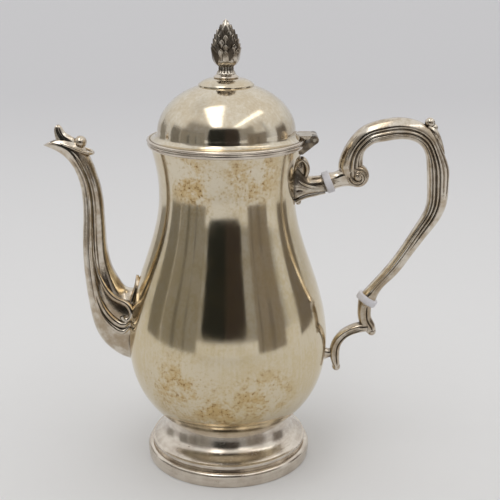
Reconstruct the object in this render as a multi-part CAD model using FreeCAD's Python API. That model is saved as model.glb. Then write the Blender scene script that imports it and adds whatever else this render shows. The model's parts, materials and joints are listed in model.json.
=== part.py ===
import FreeCAD, Part
import math
import os

Vec = FreeCAD.Vector

# Vessel, millimetres, +Z up, spout towards -X, handle towards +X
wall = 1.0
joint_r = 34.5
joint_z = 24.3
belly_r = 59.0
belly_z = 71.0
neck_r = 39.0
neck_drop = 28.0
mouth_r = 43.6
rim_z = 194.0
neck_z = rim_z - neck_drop
floor_drop = 2.0
floor_inset = 4.0
pour_hole_r = 8.0
pour_hole_taper = 0.2
# Shares of the way from one named height and radius to the next: (radius, height)
lower_swell = [(0.0, 0.0), (0.42, 0.21), (0.785, 0.50)]
upper_taper = [(0.0, 0.0), (0.175, 0.305), (0.585, 0.575), (0.88, 0.78)]
mouth_flare = [(0.0, 0.0), (0.33, 0.50), (1.0, 1.0)]

# Foot and its base wire
shoulder_r = 46.6
shoulder_height = 1.9
shoulder_round = 1.0
foot_sweep = [(0.0, 0.0), (0.15, 0.40), (0.42, 0.70), (0.74, 0.88)]
groove_depth = 0.8
groove_height = 1.7
base_reach = 2.3
base_swell = 0.5
base_wire_height = 8.6
base_round = 2.4
ledge_z = 2.0
ledge_width = 2.2
groove_top = base_wire_height + groove_height
shoulder_z = groove_top + shoulder_height
skirt_r = shoulder_r - groove_depth
base_r = shoulder_r + base_reach

# Rim wire
rim_wire_reach = 1.4
rim_wire_height = 2.6
rim_wire_round = 0.7
rim_wire_r = mouth_r + rim_wire_reach

# Lid
lid_gap = 0.15
lid_wall = 1.0
dome_inset = 4.4
dome_lift = 4.85
dome_rise = 28.2
flange_reach = 0.4
flange_height = 1.7
cove_bow = 1.3
lid_wire_width = 1.3
cap_r = 15.8
cap_step = 0.9
cap_flat_r = 7.4
cap_rise = 3.4
cap_bow = 0.9
bezel_clearance = 0.6
bezel_height = 6.0
bezel_wall = 1.0
seat_z = rim_z + lid_gap
flange_top = seat_z + flange_height
dome_z = seat_z + dome_lift
dome_r = mouth_r - dome_inset
flange_r = mouth_r + flange_reach
lid_wire_r = flange_r + lid_wire_width

# Finial and its fastening
collar_r = 7.1
collar_height = 2.2
collar_band = 1.3
collar_bulge = 0.55
finial_neck_r = 4.2
finial_flare_r = 5.4
finial_neck_height = 4.7
finial_cove = 1.4
bud_r = 7.4
bud_height = 25.4
bud_fullness = 0.62
bud_bluntness = 0.75
bract_rows = 4
bracts_per_row = 8
bract_r = 2.3
bract_tip_r = 0.3
bract_length = 8.2
bract_lean = 4.0
bract_turn_in = 9.0
# Shares of the bud's height: the lowest row, the step between rows, and where a row's reach is taken
bract_first = 0.10
bract_step = 0.19
bract_tuck = 0.06
stud_r = 1.5
stud_grip = 8.0
stud_beyond = 2.0
washer_r = 4.6
washer_height = 1.0
nut_across_flats = 6.0
nut_height = 2.6

# Hinge
hinge_reach = 4.2
hinge_rise = 1.4
hinge_width = 16.0
knuckle_r = 2.4
lid_knuckle = 6.0
knuckle_gap = 0.3
hinge_pin_r = 1.0
running_fit = 0.05
pin_end = 0.3
leaf_length = 8.5
web_drop = 6.8
web_angle = 37.0

# Handle sockets, insulators and their pins
upper_socket_drop = 26.0
lower_socket_drop = 7.5
upper_tilt = 22.0
lower_tilt = 57.0
socket_end_r = 5.2
lower_end_r = 4.7
insulator_r = 6.4
insulator_height = 4.3
tenon_r = 1.8
tenon_length = 3.4
tenon_end_gap = 0.3
close_fit = 0.04
cross_pin_r = 0.6
cross_pin_inset = 1.9
pad_r = 2.6
pad_length = 6.0
pad_sink = 2.0
upper_socket_z = rim_z - upper_socket_drop
lower_socket_z = belly_z - lower_socket_drop

# Spout
spout_wall = 1.6
spout_rise = 13.0
flute_depth = 0.05
flute_waves = 3.5
spout_z = belly_z + spout_rise
# Spout outline from the root: outer edge (reach, rise), inner edge (reach, rise), half width
spout_outline = [
    (-2.5, -24.0, -7.5, 21.6, 11.0),
    (7.6, -19.8, -0.6, 21.4, 11.0),
    (16.1, -12.0, 3.2, 23.4, 10.6),
    (21.3, -1.0, 6.5, 28.6, 9.9),
    (23.9, 14.0, 9.7, 35.6, 8.8),
    (25.6, 32.0, 11.7, 45.0, 7.6),
    (25.6, 53.0, 12.4, 57.0, 6.6),
    (24.7, 71.0, 12.9, 72.6, 5.9),
    (25.7, 84.6, 14.1, 83.2, 5.6),
    (29.2, 94.6, 16.9, 93.4, 5.5),
    (33.6, 100.2, 20.6, 102.6, 5.4),
    (38.0, 103.6, 25.8, 108.6, 5.2),
    (45.9, 107.2, 36.5, 110.9, 4.0),
]
knob_at = (24.6, 109.0)
knob_r = 3.5
crest_outline = [(38.2, 108.6), (39.0, 114.2), (37.0, 119.0), (34.1, 116.5), (31.6, 113.4), (27.5, 111.6)]
crest_half_width = 2.6

# Upper socket from its root on the neck: upper edge, lower edge, half width
upper_horn = [
    (-2.0, 13.0, -2.5, -10.0, 6.4),
    (2.5, 10.5, 2.0, -8.2, 6.4),
    (6.5, 6.2, 6.5, -6.1, 5.6),
    (11.0, 5.2, 11.6, -5.1, 5.2),
]
upper_end = (17.2, 0.9)
upper_leaf = [
    (-2.0, 19.5), (3.2, 18.8), (2.5, 15.2), (5.0, 14.6),
    (7.0, 11.6), (6.3, 7.0), (5.0, 4.0), (-2.0, 4.0),
]
upper_leaf_half_width = 3.4
curl_at = (2.2, -10.0)
curl_r = 1.7
curl_half_width = 3.0

# Lower socket from its root on the belly: the stem under the insulator, then the C-scroll
lower_end = (23.1, 33.1)
lower_stem = [
    (18.9, 28.4, 27.0, 28.0, 4.2),
    (19.7, 21.4, 27.4, 23.2, 4.0),
    (22.4, 16.2, 29.3, 19.4, 3.8),
    (25.2, 13.2, 30.2, 16.0, 3.0),
]
lower_scroll = [
    (24.6, 20.6, 25.0, 14.6, 4.0),
    (16.4, 18.8, 16.9, 12.8, 4.2),
    (9.6, 15.0, 12.6, 10.2, 4.2),
    (5.0, 9.6, 9.9, 6.6, 4.2),
    (3.0, 4.0, 9.0, 3.4, 4.0),
    (3.2, -2.4, 8.8, -2.8, 3.8),
    (4.9, -8.0, 9.2, -8.8, 3.0),
]
scroll_tip_r = 2.5
stem_tip_r = 2.7

# Handle from its upper end: outer edge, inner edge, half width
handle_outline = [
    (4.6, 2.4, 18.0, 3.0, 5.4),
    (3.7, 10.0, 17.6, 10.6, 5.8),
    (5.8, 16.8, 17.9, 15.5, 6.0),
    (10.4, 24.9, 20.4, 19.4, 6.2),
    (17.6, 31.6, 24.0, 21.8, 6.3),
    (26.7, 34.9, 28.2, 22.6, 6.4),
    (37.8, 36.4, 37.8, 24.0, 6.5),
    (48.6, 34.3, 45.4, 23.1, 6.5),
    (56.8, 28.5, 50.4, 20.1, 6.6),
    (62.2, 19.0, 53.4, 14.0, 6.6),
    (66.7, 7.5, 54.4, 6.0, 6.6),
    (67.8, -2.0, 55.0, -3.0, 6.5),
    (66.7, -12.5, 55.3, -10.3, 6.2),
    (63.1, -22.5, 54.0, -17.9, 5.6),
    (57.3, -31.2, 50.0, -25.5, 5.0),
    (47.6, -45.2, 41.6, -39.7, 4.6),
    (38.2, -58.0, 32.3, -53.0, 4.5),
    (30.4, -66.6, 24.4, -62.5, 4.6),
]
handle_span = (24.1, -70.5)
volute_at = (14.7, 3.2)
volute_r = 6.6
volute_half_width = 5.6
volute_round = 2.2
thumb_row = 8
thumb_offset = (-2.0, 5.0)
thumb_r = 2.9

# Points that a curve is drawn through
shell_steps = 18
foot_steps = 10
dome_steps = 10
flank_steps = 16


def mix(a, b, share):
    return a + (b - a) * share


def at(x, z):
    return Vec(x, 0, z)


def lines(*points):
    return [Part.makeLine(a, b) for a, b in zip(points, points[1:])]


def arc(a, middle, b):
    return Part.Arc(a, middle, b).toShape()


def spline(points):
    curve = Part.BSplineCurve()
    curve.interpolate(points)
    return curve


def offset_points(curve, gap, count):
    # Points beside the curve, to the left of its direction
    points = []
    for step in range(count + 1):
        place = mix(curve.FirstParameter, curve.LastParameter, step / count)
        along = curve.tangent(place)[0]
        points.append(curve.value(place) + Vec(-along.z, 0, along.x) * gap)
    return points


def turned(edges):
    face = Part.Face(Part.Wire(edges))
    return face.revolve(Vec(0, 0, 0), Vec(0, 0, 1), 360)


def cross_cylinder(radius, centre, half_width):
    # A cylinder along Y, centred on the middle plane
    return Part.makeCylinder(radius, 2 * half_width, centre - Vec(0, half_width, 0), Vec(0, 1, 0))


def slab(points, half_width):
    # A flat outline in the XZ plane, given width both ways
    face = Part.Face(Part.Wire(lines(*points, points[0])))
    face.translate(Vec(0, -half_width, 0))
    return face.extrude(Vec(0, 2 * half_width, 0))


def half_section(outer, inner, half_width, flute, side):
    # Half an oval from the outer to the inner edge, with ribs and flutes along its flank
    centre = (outer + inner) * 0.5
    reach = (outer - inner) * 0.5
    points = []
    for step in range(flank_steps + 1):
        turn = math.pi * step / flank_steps
        place = side * math.cos(turn)
        ripple = 1 + flute * math.cos(flute_waves * math.pi * place) * (1 - place * place)
        points.append(centre + reach * place + Vec(0, side * half_width * math.sin(turn) * ripple, 0))
    leave = Vec(0, side * half_width * math.pi, 0)
    curve = Part.BSplineCurve()
    shares = [step / flank_steps for step in range(flank_steps + 1)]
    curve.interpolate(Points=points, Parameters=shares, InitialTangent=leave, FinalTangent=-leave)
    return curve.toShape()


def section(outer, inner, half_width, flute):
    return Part.Wire([half_section(outer, inner, half_width, flute, side) for side in (1, -1)])


def stations(root, outline, side):
    # Outline rows as points: outer edge, inner edge, half width
    rows = []
    for outer_reach, outer_rise, inner_reach, inner_rise, half_width in outline:
        outer = root + at(side * outer_reach, outer_rise)
        inner = root + at(side * inner_reach, inner_rise)
        rows.append((outer, inner, half_width))
    return rows


def round_end(centre, axis, radius):
    # A round section square to the axis: its edge points in the middle plane
    across = Vec(-axis.z, 0, axis.x) * radius
    return centre + across, centre - across, radius


def loft(rows, flute=0.0):
    return Part.makeLoft([section(outer, inner, width, flute) for outer, inner, width in rows], True, False)


def fused(first, *others):
    return first.fuse(list(others)).removeSplitter()


# Vessel outline from the foot joint up to the rim
outer_points = [at(mix(joint_r, belly_r, r), mix(joint_z, belly_z, z)) for r, z in lower_swell]
outer_points += [at(mix(belly_r, neck_r, r), mix(belly_z, neck_z, z)) for r, z in upper_taper]
outer_points += [at(mix(neck_r, mouth_r, r), mix(neck_z, rim_z, z)) for r, z in mouth_flare]
vessel_curve = spline(outer_points)
floor_z = joint_z - floor_drop
floor_r = joint_r - floor_inset


def vessel_radius(z):
    low = vessel_curve.FirstParameter
    high = vessel_curve.LastParameter
    while high - low > 1e-9:
        middle = (low + high) / 2
        if vessel_curve.value(middle).z < z:
            low = middle
        else:
            high = middle
    return vessel_curve.value(low).x


def make_vessel_core():
    # The vessel without its hollow, which the soldered pieces are cut to fit
    edges = lines(at(0, floor_z), at(floor_r, floor_z), at(joint_r, joint_z))
    edges.append(vessel_curve.toShape())
    edges += lines(at(mouth_r, rim_z), at(0, rim_z), at(0, floor_z))
    return turned(edges)


def make_body_shell():
    inner_points = offset_points(vessel_curve, wall, shell_steps)[:-1] + [at(mouth_r - wall, rim_z)]
    edges = lines(at(0, floor_z), at(floor_r, floor_z), at(joint_r, joint_z))
    edges.append(vessel_curve.toShape())
    edges += lines(at(mouth_r, rim_z), inner_points[-1])
    edges.append(spline(inner_points).toShape())
    edges += lines(inner_points[0], at(floor_r, floor_z + wall), at(0, floor_z + wall), at(0, floor_z))
    hole_end = at(-vessel_radius(spout_z) - pour_hole_r, spout_z)
    inside_r = pour_hole_r - pour_hole_taper
    hole = Part.makeCone(pour_hole_r, inside_r, 2 * pour_hole_r, hole_end, Vec(1, 0, 0))
    return turned(edges).cut(hole)


def make_foot():
    points = [at(mix(joint_r, shoulder_r, r), mix(joint_z, shoulder_z, z)) for r, z in foot_sweep]
    points.append(at(shoulder_r - shoulder_round, shoulder_z))
    sweep = spline(points)
    inner_points = offset_points(sweep, -wall, foot_steps)[:-2]
    inner_points.append(at(skirt_r - wall, groove_top - wall))
    edge_low = at(shoulder_r, shoulder_z - shoulder_round)
    turn = shoulder_round * math.sqrt(0.5)
    edge_middle = at(shoulder_r - shoulder_round + turn, shoulder_z - shoulder_round + turn)
    edges = [sweep.toShape(), arc(points[-1], edge_middle, edge_low)]
    edges += lines(edge_low, at(shoulder_r, groove_top), at(skirt_r, groove_top), at(skirt_r, ledge_z),
                   at(skirt_r - wall, ledge_z), inner_points[-1])
    edges.append(spline(inner_points).toShape())
    top_z = joint_z + 2 * wall
    edges += lines(inner_points[0], at(inner_points[0].x, top_z), at(joint_r, top_z), at(joint_r, joint_z))
    return turned(edges).cut(make_vessel_core())


def make_foot_ring():
    widest = base_r + base_swell
    round_z = base_wire_height - base_round
    turn = base_round * math.sqrt(0.5)
    round_start = at(widest, round_z)
    round_end_point = at(widest - base_round, base_wire_height)
    edges = [arc(at(base_r, 0), at(widest - base_swell / 4, round_z / 2), round_start)]
    edges.append(arc(round_start, at(widest - base_round + turn, round_z + turn), round_end_point))
    ledge_r = skirt_r - ledge_width
    edges += lines(round_end_point, at(skirt_r, base_wire_height), at(skirt_r, ledge_z), at(ledge_r, ledge_z),
                   at(ledge_r, 0), at(base_r, 0))
    return turned(edges)


def make_mouth_wire():
    low_z = rim_z - rim_wire_height
    low = at(rim_wire_r - rim_wire_round, low_z)
    high = at(rim_wire_r - rim_wire_round / 2, rim_z)
    edges = lines(at(neck_r, low_z), low)
    edges.append(arc(low, at(rim_wire_r, mix(low_z, rim_z, 0.5)), high))
    edges += lines(high, at(neck_r, rim_z), at(neck_r, low_z))
    return turned(edges).cut(make_vessel_core())


def dome_points(shrink, edge_r):
    # Quarter ellipse from the dome's foot up to the radius edge_r
    across = dome_r - shrink
    rise = dome_rise - shrink
    turns = [math.acos(edge_r / across) * step / dome_steps for step in range(dome_steps + 1)]
    return [at(across * math.cos(turn), dome_z + rise * math.sin(turn)) for turn in turns]


dome_outer = dome_points(0, cap_r)
dome_inner = dome_points(lid_wall, cap_r - lid_wall)
cap_edge = dome_outer[-1] + at(0, cap_step)
cap_top = cap_edge.z + cap_rise
cap_under = cap_top - lid_wall


def cap_arc(edge, flat):
    middle = (edge + flat) * 0.5
    along = flat - edge
    along.normalize()
    return arc(edge, middle + Vec(along.z, 0, -along.x) * cap_bow, flat)


def make_lid_dome(filled=False):
    inside_r = dome_r - lid_wall
    flange_edge = at(flange_r, flange_top)
    cove = (flange_edge + dome_outer[0]) * 0.5 - at(cove_bow, cove_bow) * math.sqrt(0.5)
    outer = [arc(flange_edge, cove, dome_outer[0]), spline(dome_outer).toShape()]
    outer += lines(dome_outer[-1], cap_edge)
    outer.append(cap_arc(cap_edge, at(cap_flat_r, cap_top)))
    flat_top = at(cap_flat_r, cap_top)
    flat_under = at(cap_flat_r, cap_under)
    if filled:
        bottom = lines(flat_top, at(0, cap_top), at(0, seat_z), at(flange_r, seat_z), flange_edge)
        return turned(outer + bottom)
    hole_r = stud_r + close_fit
    inner_edge = dome_inner[-1] + at(0, cap_step)
    inner = lines(flat_top, at(hole_r, cap_top), at(hole_r, cap_under), flat_under)
    inner.append(cap_arc(inner_edge, flat_under))
    inner += lines(inner_edge, dome_inner[-1])
    inner.append(spline(dome_inner).toShape())
    inner += lines(dome_inner[0], at(inside_r, seat_z), at(flange_r, seat_z), flange_edge)
    return turned(outer + inner)


def make_lid_rim_wire():
    low = at(mix(flange_r, lid_wire_r, 0.5), seat_z)
    high = at(mix(flange_r, lid_wire_r, 0.5), flange_top)
    edges = lines(at(flange_r, seat_z), low)
    edges.append(arc(low, at(lid_wire_r, mix(seat_z, flange_top, 0.5)), high))
    edges += lines(high, at(flange_r, flange_top), at(flange_r, seat_z))
    return turned(edges)


def make_lid_bezel():
    low_z = seat_z - bezel_height
    bezel_r = vessel_radius(low_z) - wall - bezel_clearance
    return turned(lines(at(bezel_r - bezel_wall, low_z), at(bezel_r, low_z), at(bezel_r, seat_z),
                        at(bezel_r - bezel_wall, seat_z), at(bezel_r - bezel_wall, low_z)))


# Finial levels
collar_top = cap_top + collar_height
bud_base = collar_top + finial_neck_height


def make_finial_collar():
    hole_r = stud_r + close_fit
    low = at(collar_r - collar_bulge, cap_top)
    waist = at(collar_r - collar_bulge, cap_top + collar_band)
    edges = [arc(low, at(collar_r, cap_top + collar_band / 2), waist)]
    edges += lines(waist, at(finial_flare_r, collar_top), at(hole_r, collar_top), at(hole_r, cap_top), low)
    return turned(edges)


def bud_radius(share):
    return bud_r * math.sin(math.pi * min(share, 1.0) ** bud_fullness) ** bud_bluntness


def make_finial():
    hole_r = stud_r + close_fit
    hole_top = collar_top + stud_grip + tenon_end_gap
    cove = at(mix(finial_flare_r, finial_neck_r, 0.8), collar_top + finial_cove)
    neck = [at(finial_flare_r, collar_top), cove, at(finial_neck_r, bud_base)]
    bud = [at(bud_radius(share), bud_base + bud_height * share) for share in (0.2, 0.4, 0.6, 0.8, 0.94)]
    tip = at(0, bud_base + bud_height)
    edges = [spline(neck).toShape(), spline([neck[-1]] + bud + [tip]).toShape()]
    edges += lines(tip, at(0, hole_top), at(hole_r, hole_top), at(hole_r, collar_top), neck[0])
    core = turned(edges)
    bracts = []
    for row in range(bract_rows):
        share = bract_first + bract_step * row
        level = bud_base + bud_height * share
        reach = bud_radius(share + bract_tuck) - bract_r / 2
        for count in range(bracts_per_row):
            turn = 2 * math.pi * (count + 0.5 * (row % 2)) / bracts_per_row
            out = Vec(math.cos(turn), math.sin(turn), 0)
            lean = math.radians(bract_lean - bract_turn_in * row)
            along = out * math.sin(lean) + Vec(0, 0, math.cos(lean))
            foot = out * reach + Vec(0, 0, level)
            bracts.append(Part.makeCone(bract_r, bract_tip_r, bract_length, foot, along))
    return core.fuse(bracts)


def make_finial_stud():
    low_z = cap_under - washer_height - nut_height - stud_beyond
    return Part.makeCylinder(stud_r, collar_top + stud_grip - low_z, Vec(0, 0, low_z))


def make_finial_washer():
    low = Vec(0, 0, cap_under - washer_height)
    ring = Part.makeCylinder(washer_r, washer_height, low)
    return ring.cut(Part.makeCylinder(stud_r + close_fit, washer_height, low))


def make_finial_nut():
    low = Vec(0, 0, cap_under - washer_height - nut_height)
    corner_r = nut_across_flats / 2 / math.cos(math.pi / 6)
    turns = [math.pi * corner / 3 for corner in range(6)]
    corners = [low + Vec(math.cos(turn), math.sin(turn), 0) * corner_r for turn in turns]
    block = Part.Face(Part.Wire(lines(*corners, corners[0]))).extrude(Vec(0, 0, nut_height))
    return block.cut(Part.makeCylinder(stud_r + close_fit, nut_height, low))


# Hinge axis
hinge = at(lid_wire_r + hinge_reach, rim_z + hinge_rise)
knuckle_top = hinge.z + knuckle_r


def make_hinge_leaf():
    leaf_root = hinge.x - leaf_length
    plate = slab([at(leaf_root, flange_top), at(hinge.x, flange_top), at(hinge.x, knuckle_top),
                  at(leaf_root, knuckle_top)], hinge_width / 2)
    room = cross_cylinder(knuckle_r + knuckle_gap, hinge, hinge_width)
    keep = cross_cylinder(knuckle_r + knuckle_gap, hinge, lid_knuckle / 2)
    knuckle = cross_cylinder(knuckle_r, hinge, lid_knuckle / 2)
    leaf = fused(plate.cut(room.cut(keep)), knuckle)
    leaf = leaf.cut(cross_cylinder(hinge_pin_r + running_fit, hinge, hinge_width))
    return leaf.cut(make_lid_dome(filled=True))


def make_hinge_bracket():
    low_z = rim_z - web_drop
    lean = math.radians(web_angle)
    barrel_side = hinge + at(math.cos(lean), -math.sin(lean)) * knuckle_r
    web = slab([at(neck_r, rim_z), at(hinge.x, rim_z), barrel_side, at(vessel_radius(low_z) + wall, low_z),
                at(neck_r, low_z)], hinge_width / 2)
    barrel = cross_cylinder(knuckle_r, hinge, hinge_width / 2)
    room = cross_cylinder(knuckle_r + knuckle_gap, hinge, lid_knuckle / 2 + knuckle_gap)
    bracket = fused(web, barrel).cut(room)
    bracket = bracket.cut(cross_cylinder(hinge_pin_r + running_fit, hinge, hinge_width))
    return bracket.cut(make_vessel_core()).cut(make_mouth_wire())


def make_hinge_pin():
    return cross_cylinder(hinge_pin_r, hinge, hinge_width / 2 + pin_end)


# Handle line: sockets, insulators and the handle's two ends
upper_root = at(vessel_radius(upper_socket_z), upper_socket_z)
lower_root = at(vessel_radius(lower_socket_z), lower_socket_z)
upper_axis = at(math.cos(math.radians(upper_tilt)), math.sin(math.radians(upper_tilt)))
lower_axis = at(math.cos(math.radians(lower_tilt)), math.sin(math.radians(lower_tilt)))
upper_seat = upper_root + at(*upper_end)
lower_seat = lower_root + at(*lower_end)
handle_start = upper_seat + upper_axis * insulator_height
handle_finish = lower_seat + lower_axis * insulator_height


def make_insulator(seat, axis):
    disc = Part.makeCylinder(insulator_r, insulator_height, seat, axis)
    tenon = Part.makeCylinder(tenon_r, insulator_height + 2 * tenon_length, seat - axis * tenon_length, axis)
    holes = [pin_room(centre) for centre in pin_places(seat, axis)]
    return fused(disc, tenon).cut(holes)


def pin_places(seat, axis):
    # Centres of the cross pins: in the socket, then in the handle
    return seat - axis * cross_pin_inset, seat + axis * (insulator_height + cross_pin_inset)


def pin_room(centre):
    return cross_cylinder(cross_pin_r + close_fit, centre, 2 * insulator_r)


def tenon_room(seat, axis):
    depth = tenon_length + tenon_end_gap
    return Part.makeCylinder(tenon_r + close_fit, insulator_height + 2 * depth, seat - axis * depth, axis)


def make_cross_pin(centre, carrier):
    # As long as the metal that it passes through
    return cross_cylinder(cross_pin_r, centre, carrier - close_fit)


def make_upper_socket():
    rows = stations(upper_root, upper_horn, 1) + [round_end(upper_seat, upper_axis, socket_end_r)]
    leaf = slab([upper_root + at(*point) for point in upper_leaf], upper_leaf_half_width)
    curl = cross_cylinder(curl_r, upper_root + at(*curl_at), curl_half_width)
    socket = fused(loft(rows), leaf, curl).cut(make_vessel_core())
    return socket.cut([tenon_room(upper_seat, upper_axis), pin_room(pin_places(upper_seat, upper_axis)[0])])


def make_lower_socket():
    stem_rows = [round_end(lower_seat, lower_axis, lower_end_r)] + stations(lower_root, lower_stem, 1)
    stem = loft(stem_rows)
    scroll_rows = stations(lower_root, lower_scroll, 1)
    scroll = loft(scroll_rows)
    tip = Part.makeSphere(scroll_tip_r, (scroll_rows[-1][0] + scroll_rows[-1][1]) * 0.5)
    stem_tip = Part.makeSphere(stem_tip_r, (stem_rows[-1][0] + stem_rows[-1][1]) * 0.5)
    pad = Part.makeCylinder(pad_r, pad_length + pad_sink, lower_root - at(pad_sink, 0), Vec(1, 0, 0))
    socket = fused(stem, scroll, tip, stem_tip, pad).cut(make_vessel_core())
    return socket.cut([tenon_room(lower_seat, lower_axis), pin_room(pin_places(lower_seat, lower_axis)[0])])


def make_handle():
    rows = stations(handle_start, handle_outline, 1)
    drift = handle_finish - handle_start - at(*handle_span)
    moved = []
    for place, (outer, inner, half_width) in enumerate(rows):
        shift = drift * (place / len(rows))
        moved.append((outer + shift, inner + shift, half_width))
    upper_edge, lower_edge, end_r = round_end(handle_finish, lower_axis, lower_end_r)
    moved.append((lower_edge, upper_edge, end_r))
    scroll = loft(moved, flute_depth)
    collar = Part.makeCylinder(socket_end_r, volute_at[0] - volute_r / 2, handle_start, upper_axis)
    volute = cross_cylinder(volute_r, handle_start + at(*volute_at), volute_half_width)
    volute = volute.makeFillet(volute_round, volute.Edges)
    thumb = Part.makeSphere(thumb_r, moved[thumb_row][0] + at(*thumb_offset))
    handle = fused(scroll, collar, volute, thumb)
    rooms = []
    for seat, axis in ((upper_seat, upper_axis), (lower_seat, lower_axis)):
        rooms += [tenon_room(seat, axis), pin_room(pin_places(seat, axis)[1])]
    return handle.cut(rooms)


def make_spout_half():
    root = at(-vessel_radius(spout_z), spout_z)
    rows = stations(root, spout_outline, -1)
    outside = loft(rows, flute_depth)
    knob = Part.makeSphere(knob_r, root + at(-knob_at[0], knob_at[1]))
    crest = slab([root + at(-x, z) for x, z in crest_outline], crest_half_width)
    hollow = []
    for outer, inner, half_width in rows:
        across = (outer - inner) * 0.5
        shrink = across * (spout_wall / across.Length)
        hollow.append((outer - shrink, inner + shrink, half_width - spout_wall))
    last = hollow[-1]
    step = (hollow[-1][0] + hollow[-1][1] - hollow[-2][0] - hollow[-2][1]) * 0.25
    hollow.append((last[0] + step, last[1] + step, last[2]))
    spout = fused(outside, knob, crest).cut(loft(hollow)).cut(make_vessel_core())
    # The half on the near side of the middle plane, with room to spare round it
    box = spout.BoundBox
    box.enlarge(spout_wall)
    far_corner = Vec(box.XMin, -box.YLength, box.ZMin)
    return spout.common(Part.makeBox(box.XLength, box.YLength, box.ZLength, far_corner))


spout_half = make_spout_half()
upper_pins = pin_places(upper_seat, upper_axis)
lower_pins = pin_places(lower_seat, lower_axis)
pieces = {
    "body_shell": make_body_shell(),
    "foot": make_foot(),
    "foot_ring": make_foot_ring(),
    "mouth_wire": make_mouth_wire(),
    "spout_near_half": spout_half,
    "spout_far_half": spout_half.mirror(Vec(0, 0, 0), Vec(0, 1, 0)),
    "hinge_bracket": make_hinge_bracket(),
    "hinge_pin": make_hinge_pin(),
    "upper_handle_socket": make_upper_socket(),
    "lower_handle_socket": make_lower_socket(),
    "handle": make_handle(),
    "upper_insulator": make_insulator(upper_seat, upper_axis),
    "lower_insulator": make_insulator(lower_seat, lower_axis),
    "upper_socket_pin": make_cross_pin(upper_pins[0], socket_end_r),
    "upper_handle_pin": make_cross_pin(upper_pins[1], socket_end_r),
    "lower_socket_pin": make_cross_pin(lower_pins[0], lower_end_r),
    "lower_handle_pin": make_cross_pin(lower_pins[1], lower_end_r),
    "lid_dome": make_lid_dome(),
    "lid_rim_wire": make_lid_rim_wire(),
    "lid_bezel": make_lid_bezel(),
    "hinge_leaf": make_hinge_leaf(),
    "finial": make_finial(),
    "finial_collar": make_finial_collar(),
    "finial_stud": make_finial_stud(),
    "finial_washer": make_finial_washer(),
    "finial_nut": make_finial_nut(),
}

os.makedirs("parts", exist_ok=True)
for name, shape in pieces.items():
    shape.exportStep("parts/" + name + ".step")
    print(name, shape.isValid(), len(shape.Solids), round(shape.Volume, 1))
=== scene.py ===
import json
import math
import bmesh
import bpy
import numpy as np
from mathutils import Matrix, Vector
from mathutils.bvhtree import BVHTree


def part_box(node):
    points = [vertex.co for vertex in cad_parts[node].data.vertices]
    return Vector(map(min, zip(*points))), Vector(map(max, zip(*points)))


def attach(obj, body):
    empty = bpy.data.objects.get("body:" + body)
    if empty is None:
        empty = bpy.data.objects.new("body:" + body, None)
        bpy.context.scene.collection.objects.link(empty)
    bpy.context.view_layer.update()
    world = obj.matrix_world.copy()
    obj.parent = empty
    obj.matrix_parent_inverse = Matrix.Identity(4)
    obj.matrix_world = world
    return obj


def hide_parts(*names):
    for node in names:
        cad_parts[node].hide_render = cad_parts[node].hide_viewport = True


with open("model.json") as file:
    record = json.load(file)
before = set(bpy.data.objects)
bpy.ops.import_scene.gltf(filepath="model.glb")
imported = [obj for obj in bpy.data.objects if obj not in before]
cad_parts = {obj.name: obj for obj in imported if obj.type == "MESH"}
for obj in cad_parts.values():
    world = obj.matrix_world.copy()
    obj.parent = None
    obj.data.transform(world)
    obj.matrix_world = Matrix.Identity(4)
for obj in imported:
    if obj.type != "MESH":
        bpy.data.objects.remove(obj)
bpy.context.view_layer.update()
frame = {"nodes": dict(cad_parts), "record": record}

mm = 0.001
print("frame loaded:", len(frame["nodes"]), "nodes")


class Wire:
    # a socket that takes part in sums, with one method for any other node
    def __init__(self, tree, socket=None):
        self.tree = tree
        self.socket = socket

    def node(self, kind, settings=None, inputs=None, output=0):
        made = self.tree.nodes.new(kind)
        for key, value in (settings or {}).items():
            if key == "stops":
                ramp = made.color_ramp
                while len(ramp.elements) < len(value):
                    ramp.elements.new(1.0)
                for element, (place, colour) in zip(ramp.elements, value):
                    element.position = place
                    element.color = colour
            else:
                setattr(made, key, value)
        for key, value in (inputs or {}).items():
            if isinstance(value, Wire):
                self.tree.links.new(value.socket, made.inputs[key])
            else:
                made.inputs[key].default_value = value
        return Wire(self.tree, made.outputs[output])

    def maths(self, operation, first, second=0.0):
        return self.node("ShaderNodeMath", {"operation": operation}, {0: first, 1: second})

    def __add__(self, other):
        return self.maths("ADD", self, other)

    def __radd__(self, other):
        return self.maths("ADD", other, self)

    def __sub__(self, other):
        return self.maths("SUBTRACT", self, other)

    def __rsub__(self, other):
        return self.maths("SUBTRACT", other, self)

    def __mul__(self, other):
        return self.maths("MULTIPLY", self, other)

    def __rmul__(self, other):
        return self.maths("MULTIPLY", other, self)

    def __truediv__(self, other):
        return self.maths("DIVIDE", self, other)

    def ramp(self, low, high):                      # 0 at low, 1 at high, smooth between
        return self.node("ShaderNodeMapRange", {"interpolation_type": "SMOOTHSTEP"},
                         {"Value": self, "From Min": low, "From Max": high})

    def mix(self, share, first, second):            # colours
        return self.node("ShaderNodeMix", {"data_type": "RGBA"}, {0: share, 6: first, 7: second}, 2)

    def noise(self, where, scale, detail=4.0, rough=0.55):
        return self.node("ShaderNodeTexNoise", None,
                         {"Vector": where, "Scale": scale, "Detail": detail, "Roughness": rough})

    def part(self, where, axis):                    # one coordinate of a place
        return self.node("ShaderNodeSeparateXYZ", None, {0: where}, axis)

    def bump(self, strength, height, distance=0.0001):
        return self.node("ShaderNodeBump", None,
                         {"Strength": strength, "Distance": distance, "Height": height})

    def near(self, where, centre, radius):          # 1 at a point of the surface, 0 beyond the radius
        gap = self.node("ShaderNodeVectorMath", {"operation": "DISTANCE"}, {0: where, 1: centre}, 1)
        return gap.ramp(radius, radius * 0.25)


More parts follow.
